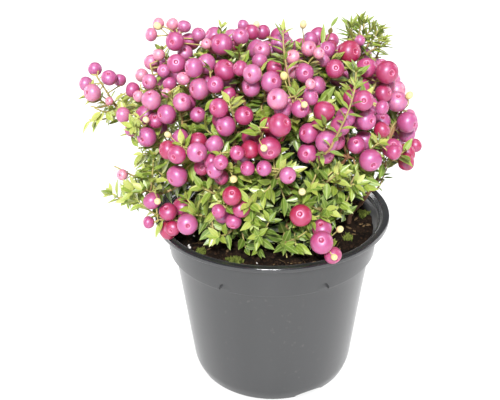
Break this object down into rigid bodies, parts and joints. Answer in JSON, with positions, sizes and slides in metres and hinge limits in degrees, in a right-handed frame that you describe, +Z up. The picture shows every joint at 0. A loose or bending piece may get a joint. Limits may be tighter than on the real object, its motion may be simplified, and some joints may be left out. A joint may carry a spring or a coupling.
{
  "type": "potted prickly heath",
  "caption": "Bushy evergreen heath shrub with pink berries, growing in a round nursery pot of black plastic.",
  "frame": {"origin": "the middle of the pot's foot, on the surface that the pot stands on", "axes": "+Z is up, -Y is the side that faces the viewer in the picture, +X is to the viewer's right"},
  "size_m": [0.1635, 0.1306, 0.1896],
  "materials": {
    "pot_plastic": "satin moulded black plastic",
    "potting_soil": "matt crumbly dark peat",
    "heath_leaf": "glossy leathery leaf, yellow-green to dark green",
    "heath_bark": "thin brown bark with green leaves at its tips",
    "heath_berry": "smooth waxy pink to crimson berry skin"
  },
  "bodies": {
    "root": {"pot": "pot_plastic", "soil": "potting_soil", "stem_left": "heath_leaf", "stem_left_front": "heath_leaf", "stem_front_left": "heath_leaf", "stem_front_right": "heath_leaf", "stem_right_front": "heath_leaf", "stem_right": "heath_leaf", "stem_top_left": "heath_leaf", "stem_top_middle": "heath_leaf", "stem_top_right": "heath_leaf", "stem_right_top": "heath_leaf", "stem_back_left": "heath_leaf", "stem_back": "heath_leaf", "stem_back_right": "heath_leaf", "stem_low_right": "heath_bark", "berries_left_far": "heath_berry", "berries_top_left": "heath_berry", "berries_left_shoulder": "heath_berry", "berries_left_upper": "heath_berry", "berries_left_middle": "heath_berry", "berries_left_front": "heath_berry", "berries_top_middle_left": "heath_berry", "berries_upper_left": "heath_berry", "berries_top_middle": "heath_berry", "berries_upper_front_left": "heath_berry", "berries_front_middle": "heath_berry", "berries_front_left": "heath_berry", "berries_top_middle_right": "heath_berry", "berries_top_right": "heath_berry", "berries_upper_right": "heath_berry", "berries_upper_middle": "heath_berry", "berries_upper_front_right": "heath_berry", "berries_front_right": "heath_berry", "berries_right_shoulder": "heath_berry", "berries_right_top": "heath_berry", "berries_right_upper": "heath_berry", "berries_right_outer": "heath_berry", "berries_right_lower": "heath_berry", "berries_right_front": "heath_berry", "berries_front_low_middle": "heath_berry", "berries_low_front_left": "heath_berry", "berries_low_front_right": "heath_berry", "berries_over_rim": "heath_berry", "berries_low_left": "heath_berry", "berries_left_pale": "heath_berry", "berries_right_side": "heath_berry", "berries_back_top": "heath_berry", "berries_back_top_left": "heath_berry", "berries_back_top_right": "heath_berry", "berries_back_left_shoulder": "heath_berry", "berries_back_upper_left": "heath_berry", "berries_back_upper_right": "heath_berry", "berries_back_right_shoulder": "heath_berry", "berries_back_left": "heath_berry", "berries_back_middle_left": "heath_berry", "berries_back_middle_right": "heath_berry", "berries_back_right": "heath_berry", "berries_back_low_left": "heath_berry", "berries_back_low_right": "heath_berry"}
  },
  "joints": []
}
